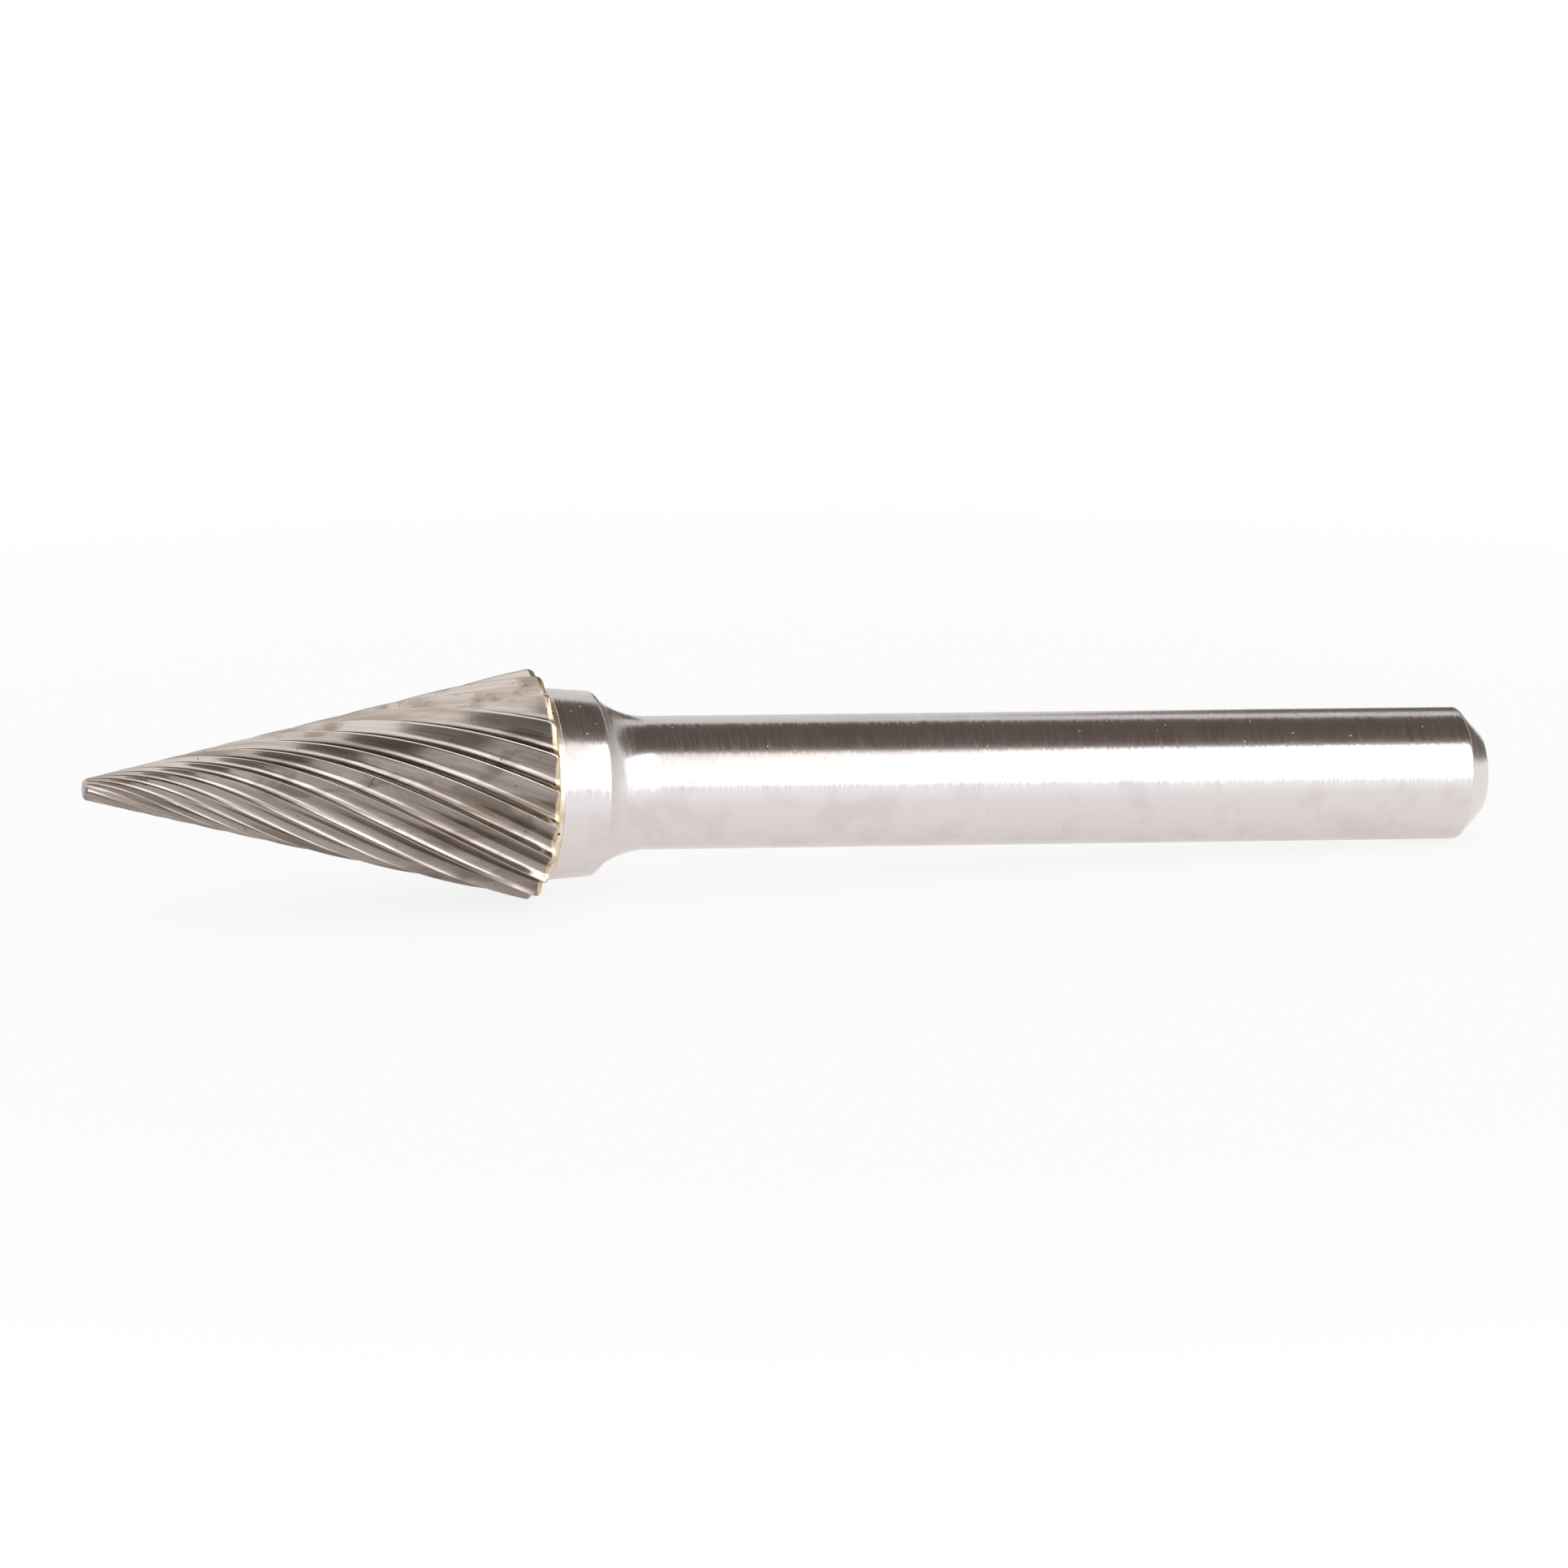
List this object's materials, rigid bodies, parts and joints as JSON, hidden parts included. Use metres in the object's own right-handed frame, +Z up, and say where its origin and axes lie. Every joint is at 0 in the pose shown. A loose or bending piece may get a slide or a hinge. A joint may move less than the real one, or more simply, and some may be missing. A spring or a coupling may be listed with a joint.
{
  "type": "rotary burr",
  "caption": "Pointed-cone rotary burr: a tungsten carbide head with helical single-cut flutes, brazed to a collared steel shank with a round 6 mm grip.",
  "frame": {"origin": "centre of the shank's flat end face, on the tool's axis", "axes": "+X runs along the tool's axis from the tip to the shank end and out of it, and +Z is up with the tool lying on its side, on two teeth of the head and the shank's end corner"},
  "size_m": [0.065, 0.0102, 0.0102],
  "materials": {
    "carbide": "ground tungsten carbide",
    "braze": "satin braze alloy",
    "shank_steel": "turned and ground steel"
  },
  "bodies": {
    "root": {"cutting_head": "carbide", "braze_joint": "braze", "shank": "shank_steel"}
  },
  "joints": []
}
